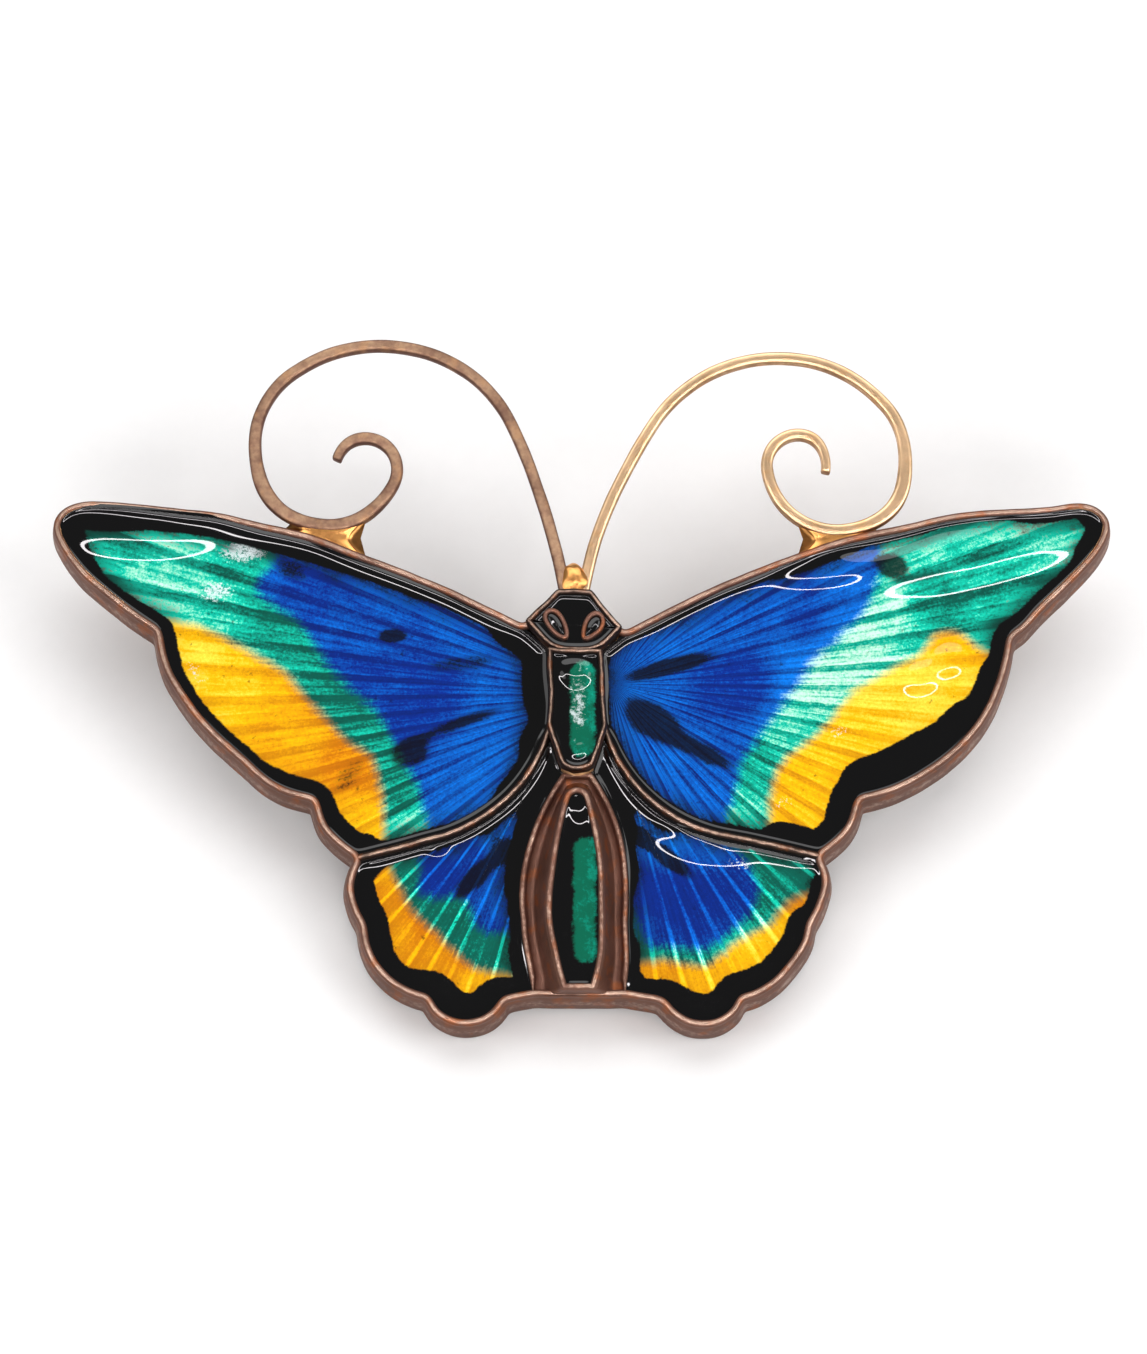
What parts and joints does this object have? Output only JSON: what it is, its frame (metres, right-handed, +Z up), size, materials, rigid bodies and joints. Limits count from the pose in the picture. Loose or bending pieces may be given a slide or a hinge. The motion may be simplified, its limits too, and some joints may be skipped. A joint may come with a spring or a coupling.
{
  "type": "brooch",
  "caption": "Butterfly brooch: scalloped gilt tray with enamelled cells, curled wire antennae, and a hinged pin with a turning safety catch.",
  "frame": {"origin": "middle of the bottom of the brooch's box, on the table that it lies on, face up", "axes": "+X across the wings towards the right wing tip as seen from the front, +Y towards the head and antennae, +Z up, out of the enamelled face; the face leans 10.7 degrees towards the tail, as it lies on its findings"},
  "size_m": [0.0498, 0.0325, 0.0076],
  "materials": {
    "gilt_tray": "tarnished coppery gilt, polished rims",
    "gilt_wire": "gilt drawn wire, satin",
    "solder": "bright gold solder, flowed",
    "gilt_findings": "gilt, satin",
    "pin_metal": "drawn and gilt, polished",
    "wing_enamel": "translucent enamel over engine-turned rays",
    "body_enamel": "translucent green and black enamel"
  },
  "bodies": {
    "brooch": {"left_forewing_enamel": "wing_enamel", "left_hindwing_enamel": "wing_enamel", "right_forewing_enamel": "wing_enamel", "right_hindwing_enamel": "wing_enamel", "head_enamel": "body_enamel", "thorax_enamel": "body_enamel", "abdomen_enamel": "body_enamel", "wing_tray": "gilt_tray", "left_antenna": "gilt_wire", "right_antenna": "gilt_wire", "antenna_root_solder": "solder", "left_antenna_solder": "solder", "right_antenna_solder": "solder", "hinge_patch": "gilt_findings", "catch_patch": "gilt_findings", "hinge_bracket": "gilt_findings", "hinge_rivet": "gilt_findings", "catch_housing": "gilt_findings"},
    "pin": {"pin_stem": "pin_metal"},
    "roller": {"catch_roller": "gilt_findings"}
  },
  "joints": [
    {"name": "pin_hinge", "type": "hinge", "parent": "brooch", "child": "pin", "pos_m": [-0.0125, 0.00155, 0.0013], "axis": [0, 0.9827, 0.1854], "range_deg": [0, 80]},
    {"name": "catch_turn", "type": "hinge", "parent": "brooch", "child": "roller", "pos_m": [0.0135, 0.00155, 0.0013], "axis": [1, 0, 0], "range_deg": [0, 72]}
  ]
}
